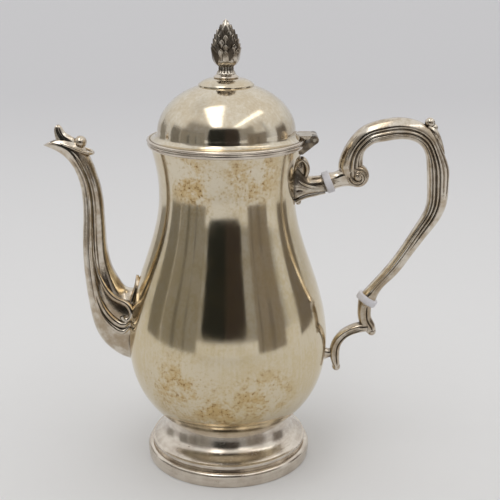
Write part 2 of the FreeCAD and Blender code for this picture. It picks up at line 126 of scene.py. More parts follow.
def newMaterial(name):
    material = bpy.data.materials.new(name)
    material.use_nodes = True
    tree = material.node_tree
    shader = tree.nodes["Principled BSDF"]
    wire = Wire(tree)
    where = wire.node("ShaderNodeTexCoord", None, None, "Object")
    return material, tree, shader, wire, where


def plug(tree, shader, **sockets):
    for key, value in sockets.items():
        socket = shader.inputs[key.replace("_", " ")]
        if isinstance(value, Wire):
            tree.links.new(value.socket, socket)
        else:
            socket.default_value = value


silverLook = {
    "pale": (0.74, 0.675, 0.555, 1), "warm": (0.635, 0.545, 0.405, 1), "yellow": (0.66, 0.55, 0.345, 1),
    "golden": (0.56, 0.39, 0.165, 1), "brown": (0.25, 0.15, 0.06, 1),
    "yellowBelt": (26, 34, 104, 190),               # heights in mm where the yellow film comes and goes
    "roughness": 0.095,
    # where the tarnish gathers: centre and radius, mm
    "patches": [((-25, -50, 61), 30), ((-4, -53, 50), 24), ((20, -52, 58), 26), ((-18, -36, 177), 24),
                ((14, -36, 180), 24), ((30, 46, 60), 34), ((-20, 34, 176), 24), ((-40, 38, 88), 26)],
}


def makeSilverPlate():
    look = silverLook
    material, tree, shader, wire, where = newMaterial("silverPlate")
    along = wire.node("ShaderNodeMapping", None, {"Vector": where, "Scale": (1, 1, 0.05)})
    streak = wire.noise(along, 520, 5, 0.6)
    cloud = wire.noise(where, 16, 5)
    mottle = wire.noise(where, 75, 8, 0.65)
    speck = wire.noise(where, 560, 6, 0.66)
    patch = None
    for centre, radius in look["patches"]:
        spot = wire.near(where, [value * mm for value in centre], radius * mm)
        patch = spot if patch is None else wire.maths("MAXIMUM", patch, spot)
    warmth = (cloud * 0.5 + mottle * 0.5 + (streak - 0.5) * 0.3 + (speck - 0.5) * 0.35).ramp(0.38, 0.64)
    colour = wire.mix(warmth, look["pale"], look["warm"])
    height = wire.part(where, "Z")
    low, full, thin, gone = [value * mm for value in look["yellowBelt"]]
    film = height.ramp(low, full) * (1 - height.ramp(thin, gone) * 0.55) * height.ramp(gone + 5 * mm, gone)
    colour = wire.mix(film * (0.45 + 0.5 * warmth), colour, look["yellow"])
    gilding = patch * (mottle * 0.7 + speck * 0.3).ramp(0.44, 0.58) * 0.8
    colour = wire.mix(gilding, colour, look["golden"])
    stain = (patch * 0.95 + 0.06) * (speck * 0.72 + mottle * 0.28).ramp(0.535, 0.63)
    colour = wire.mix(stain * 0.78, colour, look["brown"])
    scuff = (streak - 0.4).ramp(0.1, 0.4)
    roughness = look["roughness"] + mottle.ramp(0.35, 0.7) * 0.06 + stain * 0.22 + scuff * 0.05
    dents = wire.noise(where, 34, 2)
    relief = dents * 0.9 + streak * 0.035 + stain * 0.06
    bump = wire.bump(0.6, relief, 0.00012)
    plug(tree, shader, Base_Color=colour, Roughness=roughness, Metallic=1.0, Normal=bump)
    return material


wornLook = {
    "pale": (0.74, 0.675, 0.585, 1), "rosy": (0.60, 0.525, 0.445, 1), "dark": (0.22, 0.18, 0.14, 1),
    "roughness": 0.17,
}


def makeWornSilver():                               # the wires and the foot, rubbed nearly through the plate
    look = wornLook
    material, tree, shader, wire, where = newMaterial("wornSilver")
    hoops = wire.node("ShaderNodeMapping", None, {"Vector": where, "Scale": (1, 1, 14)})
    brushed = wire.noise(hoops, 60, 6, 0.6)
    mottle = wire.noise(where, 110, 7, 0.62)
    speck = wire.noise(where, 640, 4, 0.6)
    colour = wire.mix((mottle * 0.65 + brushed * 0.35).ramp(0.38, 0.62), look["pale"], look["rosy"])
    spots = (speck * 0.7 + mottle * 0.3).ramp(0.58, 0.68)
    colour = wire.mix(spots * 0.45, colour, look["dark"])
    roughness = look["roughness"] + brushed.ramp(0.35, 0.7) * 0.08 + spots * 0.15
    bump = wire.bump(0.5, mottle + brushed * 0.35)
    plug(tree, shader, Base_Color=colour, Roughness=roughness, Metallic=1.0, Normal=bump)
    return material


castLook = {
    "bright": (0.72, 0.66, 0.57, 1), "warm": (0.54, 0.45, 0.345, 1),
    "oxide": (0.07, 0.055, 0.041, 1), "tarnish": (0.33, 0.25, 0.155, 1), "roughness": 0.13,
}


def makeCastSilver():
    look = castLook
    material, tree, shader, wire, where = newMaterial("castSilver")
    recess = wire.node("ShaderNodeAttribute", {"attribute_name": "recess"}, None, "Fac")
    mottle = wire.noise(where, 130, 7, 0.62)
    pits = wire.noise(where, 900, 3, 0.6)
    colour = wire.mix(mottle.ramp(0.36, 0.66), look["bright"], look["warm"])
    cloud = wire.noise(where, 28, 4)
    tarnish = (cloud * 0.6 + mottle * 0.4).ramp(0.42, 0.62)
    colour = wire.mix(tarnish * 0.6, colour, look["tarnish"])
    depth = (recess + (mottle - 0.5) * 0.35).ramp(0.11, 0.66)
    colour = wire.mix(depth * 0.88, colour, look["oxide"])
    roughness = look["roughness"] + depth * 0.25 + mottle.ramp(0.45, 0.75) * 0.09
    bump = wire.bump(0.5, pits * 0.6 + mottle * 0.8)
    plug(tree, shader, Base_Color=colour, Roughness=roughness, Metallic=1.0, Normal=bump)
    return material


# two tones for each of the plainer finishes
plainLook = {
    # painted shade: near-black silver tones for the hinge bracket, standing in for the shadow under the hinge
    # plate
    "paintedShade": ((0.13, 0.105, 0.08, 1), (0.42, 0.35, 0.26, 1)),
    "inside": ((0.42, 0.34, 0.22, 1), (0.22, 0.155, 0.085, 1)),
    "insulator": ((0.72, 0.71, 0.745, 1), (0.64, 0.62, 0.64, 1)),
    "fastener": ((0.60, 0.55, 0.46, 1), (0.46, 0.40, 0.31, 1)),
}


# painted shade: a near-black silver for the hinge bracket, dark for the shadow under the hinge plate and the
# dark it reflects
def makePaintedShadeSilver():
    material, tree, shader, wire, where = newMaterial("paintedShadeSilver")
    mottle = wire.noise(where, 240, 7, 0.62)
    colour = wire.mix(mottle.ramp(0.40, 0.68), *plainLook["paintedShade"])
    bump = wire.bump(0.5, mottle)
    plug(tree, shader, Base_Color=colour, Roughness=0.22 + mottle * 0.2, Metallic=1.0, Normal=bump)
    return material


def makeStainedInside():
    material, tree, shader, wire, where = newMaterial("stainedInside")
    cloud = wire.noise(where, 30, 6, 0.6)
    colour = wire.mix(cloud.ramp(0.35, 0.65), *plainLook["inside"])
    plug(tree, shader, Base_Color=colour, Roughness=0.3 + cloud * 0.15, Metallic=1.0)
    return material


def makeWhiteInsulator():
    material, tree, shader, wire, where = newMaterial("whiteInsulator")
    cloud = wire.noise(where, 160, 5)
    colour = wire.mix(cloud.ramp(0.4, 0.7), *plainLook["insulator"])
    bump = wire.bump(0.3, cloud)
    plug(tree, shader, Base_Color=colour, Roughness=0.42 + cloud * 0.1, Normal=bump)
    return material


def makeFastenerMetal():
    material, tree, shader, wire, where = newMaterial("fastenerMetal")
    along = wire.node("ShaderNodeMapping", None, {"Vector": where, "Scale": (1, 0.1, 1)})
    scratch = wire.noise(along, 1500, 3)
    colour = wire.mix(scratch.ramp(0.35, 0.65), *plainLook["fastener"])
    plug(tree, shader, Base_Color=colour, Roughness=0.26 + scratch * 0.12, Metallic=1.0)
    return material


silverPlate = makeSilverPlate()
wornSilver = makeWornSilver()
castSilver = makeCastSilver()
paintedShadeSilver = makePaintedShadeSilver()
stainedInside = makeStainedInside()
whiteInsulator = makeWhiteInsulator()
fastenerMetal = makeFastenerMetal()
print("materials made")


def runAlong(points):                               # length of the line up to each of its points
    steps = np.linalg.norm(np.diff(points, axis=0), axis=1)
    return np.concatenate(([0.0], np.cumsum(steps)))


def smoothLine(points, count, place=None):          # even samples on a natural cubic through the rows
    rows = np.array(points, float)
    if place is None:
        place = runAlong(rows[:, :2])
    size = len(rows)
    system = np.eye(size)
    pull = np.zeros_like(rows)
    for i in range(1, size - 1):
        before, after = place[i] - place[i - 1], place[i + 1] - place[i]
        system[i, i - 1:i + 2] = before, 2 * (before + after), after
        pull[i] = 6 * ((rows[i + 1] - rows[i]) / after - (rows[i] - rows[i - 1]) / before)
    bend = np.linalg.solve(system, pull)
    line = []
    for spot in np.linspace(place[0], place[-1], count):
        i = int(np.clip(np.searchsorted(place, spot) - 1, 0, size - 2))
        gap = place[i + 1] - place[i]
        a, b = (place[i + 1] - spot) / gap, (spot - place[i]) / gap
        curve = ((a ** 3 - a) * bend[i] + (b ** 3 - b) * bend[i + 1]) * gap * gap / 6
        line.append(a * rows[i] + b * rows[i + 1] + curve)
    return np.array(line)


def beside(line, gap):                              # the same line, moved to its left
    along = np.gradient(np.array(line, float), axis=0)
    along /= np.linalg.norm(along, axis=1)[:, None]
    return np.array(line) + np.stack([-along[:, 1], along[:, 0]], 1) * gap


def eased(outline, radius, steps=4, straight=-0.94):  # an outline with its corners rounded
    points = [np.array(point, float) for point in outline]
    result = [points[0]]
    for before, corner, after in zip(points, points[1:], points[2:]):
        back, ahead = before - corner, after - corner
        backLength, aheadLength = np.linalg.norm(back), np.linalg.norm(ahead)
        turn = np.dot(back, ahead) / (backLength * aheadLength)
        if turn < straight:
            result.append(corner)
            continue
        cut = min(radius, backLength * 0.45, aheadLength * 0.45)
        start, end = corner + back / backLength * cut, corner + ahead / aheadLength * cut
        for step in range(steps + 1):
            share = step / steps
            result.append(start * (1 - share) ** 2 + corner * 2 * share * (1 - share) + end * share ** 2)
    return result + [points[-1]]


def arcThrough(first, middle, last, steps=8):       # points of a bowed line, first to last
    first, middle, last = (np.array(point, float) for point in (first, middle, last))
    crown = middle * 2 - (first + last) / 2
    shares = np.linspace(0, 1, steps + 1)
    return [first * (1 - s) ** 2 + crown * 2 * s * (1 - s) + last * s ** 2 for s in shares]


def clean(bm, gap):                                 # joins points closer than the gap and turns faces out
    bmesh.ops.remove_doubles(bm, verts=bm.verts, dist=gap)
    bmesh.ops.dissolve_degenerate(bm, edges=bm.edges, dist=1e-7)
    bmesh.ops.recalc_face_normals(bm, faces=bm.faces)


def turned(outline, around):                        # radius and height in mm, spun about the pot's axis
    bm = bmesh.new()
    verts = [bm.verts.new((radius * mm, 0, height * mm)) for radius, height in outline]
    edges = [bm.edges.new(pair) for pair in zip(verts, verts[1:])]
    bmesh.ops.spin(bm, geom=verts + edges, cent=(0, 0, 0), axis=(0, 0, 1), angle=2 * math.pi, steps=around,
                   use_merge=True)
    clean(bm, 2e-6)
    return bm


def newObject(bm, name, material):
    mesh = bpy.data.meshes.new(name)
    bm.to_mesh(mesh)
    bm.free()
    mesh.materials.append(material)
    made = bpy.data.objects.new(name, mesh)
    bpy.context.scene.collection.objects.link(made)
    return made


def finishPiece(bm, name, material, body, nodes=(), crease=38):
    for face in bm.faces:
        face.smooth = True
    for edge in bm.edges:
        edge.smooth = len(edge.link_faces) == 2 and edge.calc_face_angle(0) < math.radians(crease)
    piece = newObject(bm, name, material)
    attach(piece, body)
    if nodes:
        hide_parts(*nodes)
    return piece


def facesAxis(face):                                # whether a turned wall looks inwards
    centre = face.calc_center_median()
    return face.normal.x * centre.x + face.normal.y * centre.y < -1e-9


vessel = {
    "outline": [(34.5, 24.3), (44.79, 34.11), (53.73, 47.65), (58.98, 71.0), (55.5, 99.98), (47.3, 125.63),
                (41.4, 145.1), (39.0, 166.0), (40.52, 180.0), (43.6, 194.0)],
    "floor": (30.5, 22.3), "wall": 1.0, "samples": 90, "around": 192,
    "pourHole": (8.0, 84.0),                        # radius and height, on the spout's side
}
vesselLine = smoothLine(vessel["outline"], vessel["samples"])


def openPourHole(bm):
    reach, height = (value * mm for value in vessel["pourHole"])
    gone = []
    for face in bm.faces:
        centre = face.calc_center_median()
        if centre.x < 0 and math.hypot(centre.y, centre.z - height) < reach:
            gone.append(face)
    bmesh.ops.delete(bm, geom=gone, context="FACES")
    rim = [edge for edge in bm.edges if edge.is_boundary]
    for vert in {vert for edge in rim for vert in edge.verts}:
        skin = np.interp(vert.co.z / mm, vesselLine[:, 1], vesselLine[:, 0])
        inside = skin - math.hypot(vert.co.x, vert.co.y) / mm > vessel["wall"] / 2
        turn = math.atan2(vert.co.z - height, vert.co.y)
        y, z = reach * math.cos(turn), height + reach * math.sin(turn)
        skin = np.interp(z / mm, vesselLine[:, 1], vesselLine[:, 0]) - vessel["wall"] * inside
        vert.co = (-math.sqrt((skin * mm) ** 2 - y * y), y, z)
    bmesh.ops.bridge_loops(bm, edges=rim)
    bmesh.ops.recalc_face_normals(bm, faces=bm.faces)


def makeVessel():
    outer = vesselLine
    inner = beside(outer, vessel["wall"])
    inner[-1] = outer[-1] - (vessel["wall"], 0)
    floorR, floorZ = vessel["floor"]
    inside = floorZ + vessel["wall"]
    outline = [(0, floorZ), (floorR, floorZ)] + list(outer) + list(inner[::-1])
    outline += [(floorR, inside), (0, inside)]
    bm = turned(outline, vessel["around"])
    openPourHole(bm)
    floorTop = (inside + 2) * mm
    for face in bm.faces:
        onFloor = face.normal.z > 0.5 and face.calc_center_median().z < floorTop
        face.material_index = int(facesAxis(face) or onFloor)
    piece = finishPiece(bm, "vessel", silverPlate, "pot", ["body_shell"])
    piece.data.materials.append(stainedInside)


foot = {
    "sweep": [(34.5, 24.3), (36.3, 19.46), (39.58, 15.83), (43.45, 13.65), (45.6, 12.2)],
    "shoulder": (46.6, 12.2), "skirt": 45.8, "grooveTop": 10.3, "low": 2.0, "wall": 1.0, "soften": 0.8,
    "samples": 26, "around": 160,
}


def makeFoot():
    sweep = smoothLine(foot["sweep"], foot["samples"])
    inner = beside(sweep, -foot["wall"])
    shoulderR, shoulderZ = foot["shoulder"]
    skirt, wall, groove, low = foot["skirt"], foot["wall"], foot["grooveTop"], foot["low"]
    rim = eased([sweep[-1], (shoulderR, shoulderZ), (shoulderR, groove), (skirt, groove), (skirt, low),
                 (skirt - wall, low), (skirt - wall, groove - wall)], foot["soften"])
    outline = list(sweep) + rim[1:] + list(inner[-3::-1]) + [sweep[0]]
    finishPiece(turned(outline, foot["around"]), "footSkirt", wornSilver, "pot", ["foot"])


baseWire = {"inside": 45.8, "ledge": 43.6, "ledgeHeight": 2.0, "low": 48.9, "wide": 49.4, "height": 8.6,
            "round": 2.4, "corner": 0.29, "lift": 0.35, "bow": 0.12, "chamfer": 0.4, "around": 160}


def makeBaseWire():
    size = baseWire
    wide, high, bend, inside, ledge = (size[key] for key in ("wide", "height", "round", "inside", "ledge"))
    top = high - bend
    side = arcThrough((size["low"], size["lift"]), (wide - size["bow"], top / 2), (wide, top))
    corner = (wide - bend * size["corner"], high - bend * size["corner"])
    crown = arcThrough(side[-1], corner, (wide - bend, high))
    outline = side + crown[1:] + [(inside, high), (inside, size["ledgeHeight"]), (ledge, size["ledgeHeight"]),
                                  (ledge, 0), (size["low"] - size["chamfer"], 0), side[0]]
    finishPiece(turned(outline, size["around"]), "baseWire", wornSilver, "pot", ["foot_ring"])


rimWire = {"reach": 45.0, "round": 0.7, "low": 191.4, "high": 194.0, "inside": 42.4, "undercut": 0.6,
           "ledge": 0.9, "soften": 0.3, "around": 160}


def makeRimWire():
    size = rimWire
    reach, bend, low, high = size["reach"], size["round"], size["low"], size["high"]
    bow = arcThrough((reach - bend, low), (reach, (low + high) / 2), (reach - bend / 2, high), 10)
    outline = [(size["inside"], low + size["undercut"])] + bow + [(size["inside"] + size["ledge"], high)]
    outline = eased(outline + [outline[0]], size["soften"])
    finishPiece(turned(outline, size["around"]), "rimWire", wornSilver, "pot", ["mouth_wire"])


lid = {
    "seat": 194.15, "flange": (44.0, 195.85), "dome": (39.2, 199.0), "rise": 28.2, "cove": 1.3, "wall": 1.0,
    "cap": 15.8, "capStep": 0.9, "capFlat": (7.4, 229.1), "capBow": 0.9, "capSoften": 0.35,
    "studHole": 1.54, "samples": 40, "around": 192,
}


def domeLine(shrink, edge, count):                  # quarter ellipse from the dome's foot up to the cap
    across, rise = lid["dome"][0] - shrink, lid["rise"] - shrink
    turns = np.linspace(0, math.acos(edge / across), count)
    return [(across * math.cos(turn), lid["dome"][1] + rise * math.sin(turn)) for turn in turns]


def capLine(edge, flat):
    middle = (np.array(edge) + np.array(flat)) / 2
    along = np.array(flat) - np.array(edge)
    along /= np.linalg.norm(along)
    return arcThrough(edge, middle + np.array((along[1], -along[0])) * lid["capBow"], flat, 12)


def makeLidDome():
    size = lid
    wall = size["wall"]
    outer = domeLine(0, size["cap"], size["samples"])
    inner = domeLine(wall, size["cap"] - wall, size["samples"])
    cove = (np.array(size["flange"]) + np.array(outer[0])) / 2 - size["cove"] * math.sqrt(0.5)
    flatR, flatZ = size["capFlat"]
    capEdge = (outer[-1][0], outer[-1][1] + size["capStep"])
    capInner = (inner[-1][0], inner[-1][1] + size["capStep"])
    top = arcThrough(size["flange"], cove, outer[0], 8)[:-1] + outer
    top = list(top) + eased([outer[-1]] + capLine(capEdge, (flatR, flatZ)), size["capSoften"])[1:]
    hole = size["studHole"]
    under = [(hole, flatZ), (hole, flatZ - wall), (flatR, flatZ - wall)]
    under += list(capLine(capInner, (flatR, flatZ - wall)))[::-1][1:] + inner[::-1]
    under += [(inner[0][0], size["seat"]), (size["flange"][0], size["seat"]), size["flange"]]
    bm = turned(top + under, size["around"])
    inside = (size["seat"] + 0.4) * mm
    for face in bm.faces:
        above = face.calc_center_median().z > inside
        face.material_index = int(above and (facesAxis(face) or face.normal.z < -0.5))
    piece = finishPiece(bm, "lidDome", silverPlate, "lid", ["lid_dome"])
    piece.data.materials.append(stainedInside)


lidWire = {"reach": 45.3, "edge": 44.65, "lap": 0.3, "drop": 0.05, "soften": 0.25, "around": 160}


def makeLidWire():
    size = lidWire
    inside, low, high = lid["flange"][0] - size["lap"], lid["seat"], lid["flange"][1]
    bow = arcThrough((size["edge"], low), (size["reach"], (low + high) / 2), (size["edge"], high), 10)
    outline = eased([(inside, low)] + bow + [(inside, high - size["drop"]), (inside, low)], size["soften"])
    bm = turned(outline, size["around"])
    finishPiece(bm, "lidWire", wornSilver, "lid", ["lid_rim_wire"])


lidBezel = {"wall": 1.0, "soften": 0.4, "around": 128}


def makeLidBezel():
    size = lidBezel
    low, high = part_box("lid_bezel")
    outer, bottom, top = high[0] / mm, low[2] / mm, high[2] / mm
    inner = outer - size["wall"]
    outline = eased([(outer, top), (outer, bottom), (inner, bottom), (inner, top)], size["soften"])
    bm = turned(outline + [outline[0]], size["around"])
    finishPiece(bm, "lidBezel", silverPlate, "lid", ["lid_bezel"])


makeVessel()
makeFoot()
makeBaseWire()
makeRimWire()
makeLidDome()
makeLidWire()
makeLidBezel()
print("turned pieces made")


def keepOff(point, sink=0.5):                       # a point pushed out to just under the vessel's skin
    reach = math.hypot(point[0], point[1])
    least = np.interp(point[2], vesselLine[:, 1], vesselLine[:, 0]) - sink
    if reach < least:
        return Vector((point[0] * least / reach, point[1] * least / reach, point[2]))
    return Vector(point)


def bell(value, centre, width):
    return math.exp(-((value - centre) / width) ** 2)


def fade(value, low, high):                         # 0 at low, 1 at high
    share = min(max((value - low) / (high - low), 0.0), 1.0)
    return share * share * (3 - 2 * share)


def plain(share, across):
    return 0.0


def addGrid(bm, rows):                              # a grid moved onto rows of points
    made = bmesh.ops.create_grid(bm, x_segments=len(rows[0]) - 1, y_segments=len(rows) - 1, size=1)["verts"]
    for vert, point in zip(made, (point for row in rows for point in row)):
        vert.co = Vector(point) * mm


def alongRows(sections, count):                     # even sections: outer x, z, inner x, z, half width
    rows = np.array(sections, float)
    middle = (rows[:, 0:2] + rows[:, 2:4]) / 2
    return smoothLine(rows, count, runAlong(middle))


def sectionRing(row, share, relief, turns, inset=0.0):
    outer, inner = row[0:2], row[2:4]
    middle, half = (outer + inner) / 2, (outer - inner) / 2
    length = max(np.linalg.norm(half), 1e-6)
    ring = []
    for turn in turns:
        lift = relief(share, 1 - abs(1 - turn / math.pi)) - inset
        x, z = middle + half * (1 + lift / length) * math.cos(turn)
        ring.append(Vector((x, -(row[4] + lift) * math.sin(turn), z)))
    return ring


def addLoft(bm, sections, count=24, around=48, relief=plain, off=False):   # a closed solid through sections
    turns = np.linspace(0, 2 * math.pi, around + 1)
    rows = []
    for i, row in enumerate(alongRows(sections, count)):
        ring = sectionRing(row, i / (count - 1), relief, turns)
        rows.append([keepOff(point) for point in ring] if off else ring)
    for end, spot in ((rows[0], 0), (rows[-1], len(rows) + 1)):
        middle = sum(end[:-1], Vector()) / (len(end) - 1)
        rows.insert(spot, [middle] * len(end))
    addGrid(bm, rows)


def addBead(bm, path, radii, steps=36, around=12):  # a tapering round bead along points
    path = np.array(path, float)
    ends = len(path) - 1
    thick = np.interp(np.linspace(0, ends, len(path)), np.linspace(0, ends, len(radii)), radii)
    line = smoothLine(np.column_stack([path, thick]), steps, runAlong(path))
    ahead = np.gradient(line[:, :3], axis=0)
    rows = []
    for spot, way in zip(line, ahead):
        way = Vector(way).normalized()
        side = way.cross(Vector((0, 1, 0))).normalized()
        rise = side.cross(way)
        rows.append([Vector(spot[:3]) + (side * math.cos(turn) + rise * math.sin(turn)) * max(spot[3], 0.05)
                     for turn in np.linspace(0, 2 * math.pi, around + 1)])
    rows = [[Vector(line[0, :3])] * (around + 1)] + rows + [[Vector(line[-1, :3])] * (around + 1)]
    addGrid(bm, rows)


def addBall(bm, centre, radius, flat=1.0):          # a bead, squashed across the pot by flat
    made = bmesh.ops.create_uvsphere(bm, u_segments=24, v_segments=14, radius=radius * mm)["verts"]
    bmesh.ops.scale(bm, vec=(1, flat, 1), verts=made)
    bmesh.ops.translate(bm, vec=Vector(centre) * mm, verts=made)


crevice = {"reach": 2.6, "rays": 26, "start": 0.08, "hollow": 0.85}


def markRecess(bm, grime):                          # how deep in a crevice each point lies, for the oxide
    tree = BVHTree.FromBMesh(bm)
    layer = bm.verts.layers.float.new("recess")
    count = crevice["rays"]
    rays = []
    for i in range(count):
        height, turn = 1 - (2 * i + 1) / count, i * math.pi * (3 - math.sqrt(5))
        level = math.sqrt(1 - height * height)
        rays.append(Vector((level * math.cos(turn), level * math.sin(turn), height)))
    for vert in bm.verts:
        used = [ray for ray in rays if ray.dot(vert.normal) > 0.15]
        start = vert.co + vert.normal * crevice["start"] * mm
        hits = sum(tree.ray_cast(start, ray, crevice["reach"] * mm)[0] is not None for ray in used)
        spokes = [edge.other_vert(vert).co - vert.co for edge in vert.link_edges]
        hollow = sum(spoke.normalized().dot(vert.normal) for spoke in spokes)
        vert[layer] = grime + max(hits / max(len(used), 1), crevice["hollow"] * hollow)


def finishCast(bm, name, body, nodes=(), crease=55, grime=0.0):
    clean(bm, 4e-6)
    bm.normal_update()
    markRecess(bm, grime)
    finishPiece(bm, name, castSilver, body, nodes, crease)


def moved(rows, root, way=1):                       # sections given from a root point
    x, z = root
    return [(x + way * a, z + b, x + way * c, z + d, width) for a, b, c, d, width in rows]


spout = {
    "root": (-58.4, 84.0), "wall": 1.6, "samples": 130, "across": 60,
    "sections": [
        (-2.5, -24.0, -7.5, 21.6, 11.0), (7.6, -19.8, -0.6, 21.4, 11.0), (16.1, -12.0, 3.2, 23.4, 10.6),
        (21.3, -1.0, 6.5, 28.6, 9.9), (23.9, 14.0, 9.7, 35.6, 8.8), (25.6, 32.0, 11.7, 45.0, 7.6),
        (25.6, 53.0, 12.4, 57.0, 6.6), (24.7, 71.0, 12.9, 72.6, 5.9), (25.7, 84.6, 14.1, 83.2, 5.6),
        (29.2, 94.6, 16.9, 93.4, 5.5), (33.6, 100.2, 20.6, 102.6, 5.4), (38.0, 103.6, 25.8, 108.6, 5.2),
        (45.9, 107.2, 36.5, 110.9, 4.0)],
    # flutes along the flank: place across it, width, height
    "flutes": [(0.13, 0.13, 0.45), (0.315, 0.045, -1.25), (0.43, 0.055, 0.85), (0.515, 0.03, -0.95),
               (0.64, 0.10, -1.05), (0.86, 0.10, 0.2)],
}


def spoutRelief(share, across):
    grow = fade(share, 0.10, 0.34) * (1 - 0.9 * fade(share, 0.78, 0.92)) * (1 - 0.35 * fade(share, 0.4, 0.7))
    return grow * sum(height * bell(across, place, width) for place, width, height in spout["flutes"])


def makeSpout():
    sections = alongRows(moved(spout["sections"], spout["root"], -1), spout["samples"])
    turns = np.linspace(0, math.pi, spout["across"] + 1)
    rows, flank = [], []
    for i, row in enumerate(sections):
        share = i / (len(sections) - 1)
        outer = [keepOff(point) for point in sectionRing(row, share, spoutRelief, turns)]
        inner = [keepOff(point, 0.2) for point in sectionRing(row, share, plain, turns, spout["wall"])]
        flank += outer
        lip = [(a + b) / 2 for a, b in zip(outer, inner)]
        closing = lip + lip[::-1] + lip[:1]
        ring = outer + inner[::-1] + outer[:1]
        rows += [closing, ring] if i == 0 else [ring]
    rows.append(closing)
    for name, node, side in (("spoutNear", "spout_near_half", 1), ("spoutFar", "spout_far_half", -1)):
        bm = bmesh.new()
        addGrid(bm, rows)
        bmesh.ops.scale(bm, vec=(1, side, 1), verts=bm.verts)
        finishCast(bm, name, "pot", [node], grime=0.07)
    return np.array(flank)


spoutScroll = {
    # beads that sweep down the flank and curl at the vessel: x and z along each, then its radii
    "beads": [
        ([(-77.4, 144.0), (-76.2, 120.5), (-72.0, 109.4), (-65.2, 101.4), (-59.2, 98.2), (-56.4, 94.2),
          (-57.6, 89.9), (-60.4, 89.2), (-61.6, 91.4)], (0.25, 0.8, 1.45, 1.85, 1.85, 1.75, 1.6, 1.6, 1.9)),
        ([(-77.9, 126.6), (-76.0, 106.5), (-71.8, 95.2), (-66.0, 88.6), (-60.6, 86.4), (-57.6, 88.2)],
         (0.25, 1.0, 1.65, 2.05, 1.9, 1.0)),
        ([(-76.8, 103.0), (-73.2, 91.8), (-67.2, 84.8), (-61.4, 82.2), (-57.8, 84.6)],
         (0.3, 1.1, 1.7, 1.7, 0.9)),
    ],
    "leaf": [
        (-61.0, 92.5, -54.0, 92.5, 9.2), (-58.6, 100.0, -53.4, 100.0, 8.2), (-56.0, 106.0, -51.8, 106.0, 6.0),
        (-54.7, 110.4, -51.4, 110.4, 3.4), (-54.0, 113.4, -52.6, 113.4, 0.7)],
    "crest": [
        (38.2, 107.0, 26.2, 109.8, 3.2), (39.2, 111.4, 29.4, 112.2, 2.7), (39.5, 114.2, 32.6, 114.2, 2.2),
        (39.3, 116.8, 34.4, 116.8, 1.7), (38.4, 118.2, 35.4, 118.2, 1.1), (37.2, 118.9, 36.2, 118.9, 0.3)],
    "knob": (24.6, 109.0, 3.6),
    # ledges by the knob: reach, across and rise along each, then the radius
    "ledges": [
        ([(22.2, -5.0, 104.0), (19.6, -4.0, 103.2), (17.9, 0.0, 102.6), (19.6, 4.0, 103.2),
          (22.2, 5.0, 104.0)], 0.95),
        ([(35.5, -3.6, 108.8), (30.0, -4.9, 107.2), (25.4, -5.3, 105.2), (21.6, -5.0, 103.8)], 0.8),
        ([(35.5, 3.6, 108.8), (30.0, 4.9, 107.2), (25.4, 5.3, 105.2), (21.6, 5.0, 103.8)], 0.8)],
}


def leafRelief(share, across):
    return -0.5 * bell(across, 0.0, 0.12) + 0.25 * bell(across, 0.3, 0.12) - 0.3 * bell(across, 0.5, 0.07)


def makeSpoutScroll(flank):
    size = spoutScroll
    bm = bmesh.new()
    for path, radii in size["beads"]:
        for side in (1, -1):
            points = []
            for (x, z), radius in zip(path, radii):
                near = flank[np.argmin((flank[:, 0] - x) ** 2 + (flank[:, 2] - z) ** 2)]
                points.append(keepOff((x, side * (near[1] - 0.15 * radius), z), -0.3))
            addBead(bm, points, radii, 60, 14)
    addLoft(bm, size["leaf"], 30, 48, leafRelief, True)
    addLoft(bm, moved(size["crest"], spout["root"], -1), 24, 40, leafRelief)
    rootX, rootZ = spout["root"]
    x, z, radius = size["knob"]
    addBall(bm, (rootX - x, 0, rootZ + z), radius, 1.15)
    for path, radius in size["ledges"]:
        addBead(bm, [(rootX - a, b, rootZ + c) for a, b, c in path], (radius,), 40, 12)
    finishCast(bm, "spoutScroll", "pot", grime=0.05)


